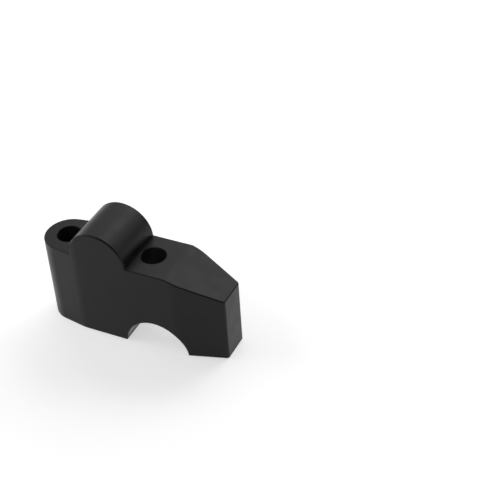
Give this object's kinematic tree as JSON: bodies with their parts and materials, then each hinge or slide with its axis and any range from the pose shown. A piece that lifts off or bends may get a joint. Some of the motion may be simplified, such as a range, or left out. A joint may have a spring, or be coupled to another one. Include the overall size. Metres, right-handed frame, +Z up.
{
  "type": "motorcycle bar riser",
  "caption": "Black anodised aluminium riser block that lifts a motorcycle handlebar and sets it back, with a round crown, screw holes and a half-round saddle.",
  "frame": {"origin": "middle of the outline's length and width, on the plane of the two feet", "axes": "+X from the round lug to the narrow end, +Y along the handlebar, +Z up as it stands on its feet; in use +Z points down into the fork's clamp"},
  "size_m": [0.0686, 0.02, 0.0419],
  "materials": {
    "anodised_black": "satin black anodised, fine blasted grain"
  },
  "bodies": {
    "root": {"riser_body": "anodised_black"}
  },
  "joints": []
}
